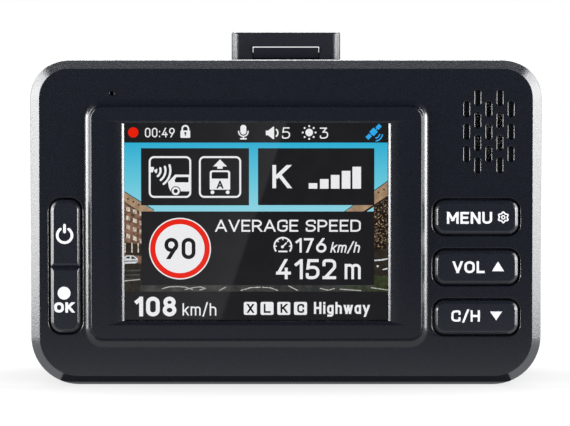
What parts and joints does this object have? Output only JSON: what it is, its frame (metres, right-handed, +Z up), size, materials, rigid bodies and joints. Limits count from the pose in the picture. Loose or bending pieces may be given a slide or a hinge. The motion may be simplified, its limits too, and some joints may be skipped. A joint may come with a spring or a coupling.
{
  "type": "radar detector",
  "caption": "Windscreen radar detector with road camera and colour screen: two-shell case, front keys, speaker slots, rear lens and laser window, and a top shoe with a release tab.",
  "frame": {"origin": "middle of the bounding box at the flat base on which the case stands", "axes": "+X to the right as the driver sees the screen, +Y towards the road, +Z up; the screen faces -Y"},
  "size_m": [0.0946, 0.044, 0.0654],
  "materials": {
    "case_plastic": "fine textured moulded plastic, dark blue-grey",
    "key_plastic": "satin moulded keys, dark blue-grey, white legends",
    "component_black": "satin black moulding",
    "circuit_board": "green solder mask",
    "display_glass": "clear cover glass",
    "display_cell": "lit colour display cell",
    "backlight_tray": "white moulded tray",
    "cable_film": "amber flexible film",
    "bare_steel": "bare formed sheet steel",
    "heat_sink_alloy": "black anodised",
    "battery_wrap": "grey shrink film",
    "antenna_ceramic": "sintered ceramic patch",
    "horn_alloy": "die-cast",
    "laser_window": "deep red infrared window",
    "lens_glass": "coated front lens",
    "trim_metal": "dark anodised, turned",
    "gloss_panel": "polished black",
    "card_plastic": "satin black",
    "screw_steel": "blackened steel"
  },
  "bodies": {
    "case": {"front_cover": "case_plastic", "rear_housing": "case_plastic", "mount_shoe": "case_plastic", "power_switch": "component_black", "ok_switch": "component_black", "menu_switch": "component_black", "volume_up_switch": "component_black", "city_highway_switch": "component_black", "left_key_board": "circuit_board", "right_key_board": "circuit_board", "main_board": "circuit_board", "radar_board": "circuit_board", "camera_board": "circuit_board", "display_glass": "display_glass", "lcd_panel": "display_cell", "lcd_backlight": "backlight_tray", "display_cable": "cable_film", "speaker_mesh": "bare_steel", "speaker": "component_black", "microphone": "bare_steel", "processor_shield": "bare_steel", "heat_sink": "heat_sink_alloy", "backup_battery": "battery_wrap", "gps_antenna": "antenna_ceramic", "radar_horn": "horn_alloy", "laser_window": "laser_window", "laser_sensor": "component_black", "lens_holder": "component_black", "lens_barrel": "component_black", "lens_glass": "lens_glass", "lens_trim_ring": "trim_metal", "rear_panel": "gloss_panel", "memory_card_socket": "bare_steel", "power_inlet": "bare_steel", "case_screw_1": "screw_steel", "case_screw_2": "screw_steel", "case_screw_3": "screw_steel", "case_screw_4": "screw_steel", "shoe_screw_1": "screw_steel", "shoe_screw_2": "screw_steel"},
    "power_button": {"power_button": "key_plastic"},
    "ok_button": {"ok_button": "key_plastic"},
    "menu_button": {"menu_button": "key_plastic"},
    "volume_up_button": {"volume_up_button": "key_plastic"},
    "city_highway_button": {"city_highway_button": "key_plastic"},
    "mount_release_button": {"mount_release_button": "key_plastic"},
    "memory_card": {"memory_card": "card_plastic"}
  },
  "joints": [
    {"name": "power_press", "type": "slide", "parent": "case", "child": "power_button", "axis": [0, 1, 0], "range_m": [0, 0.0005], "stiffness_N_per_m": 2500},
    {"name": "ok_press", "type": "slide", "parent": "case", "child": "ok_button", "axis": [0, 1, 0], "range_m": [0, 0.0005], "stiffness_N_per_m": 2500},
    {"name": "menu_press", "type": "slide", "parent": "case", "child": "menu_button", "axis": [0, 1, 0], "range_m": [0, 0.0005], "stiffness_N_per_m": 2500},
    {"name": "volume_up_press", "type": "slide", "parent": "case", "child": "volume_up_button", "axis": [0, 1, 0], "range_m": [0, 0.0005], "stiffness_N_per_m": 2500},
    {"name": "city_highway_press", "type": "slide", "parent": "case", "child": "city_highway_button", "axis": [0, 1, 0], "range_m": [0, 0.0005], "stiffness_N_per_m": 2500},
    {"name": "mount_release_press", "type": "slide", "parent": "case", "child": "mount_release_button", "axis": [0, 1, 0], "range_m": [0, 0.0008], "stiffness_N_per_m": 2500},
    {"name": "memory_card_slide", "type": "slide", "parent": "case", "child": "memory_card", "axis": [-1, 0, 0], "range_m": [0, 0.015]}
  ]
}
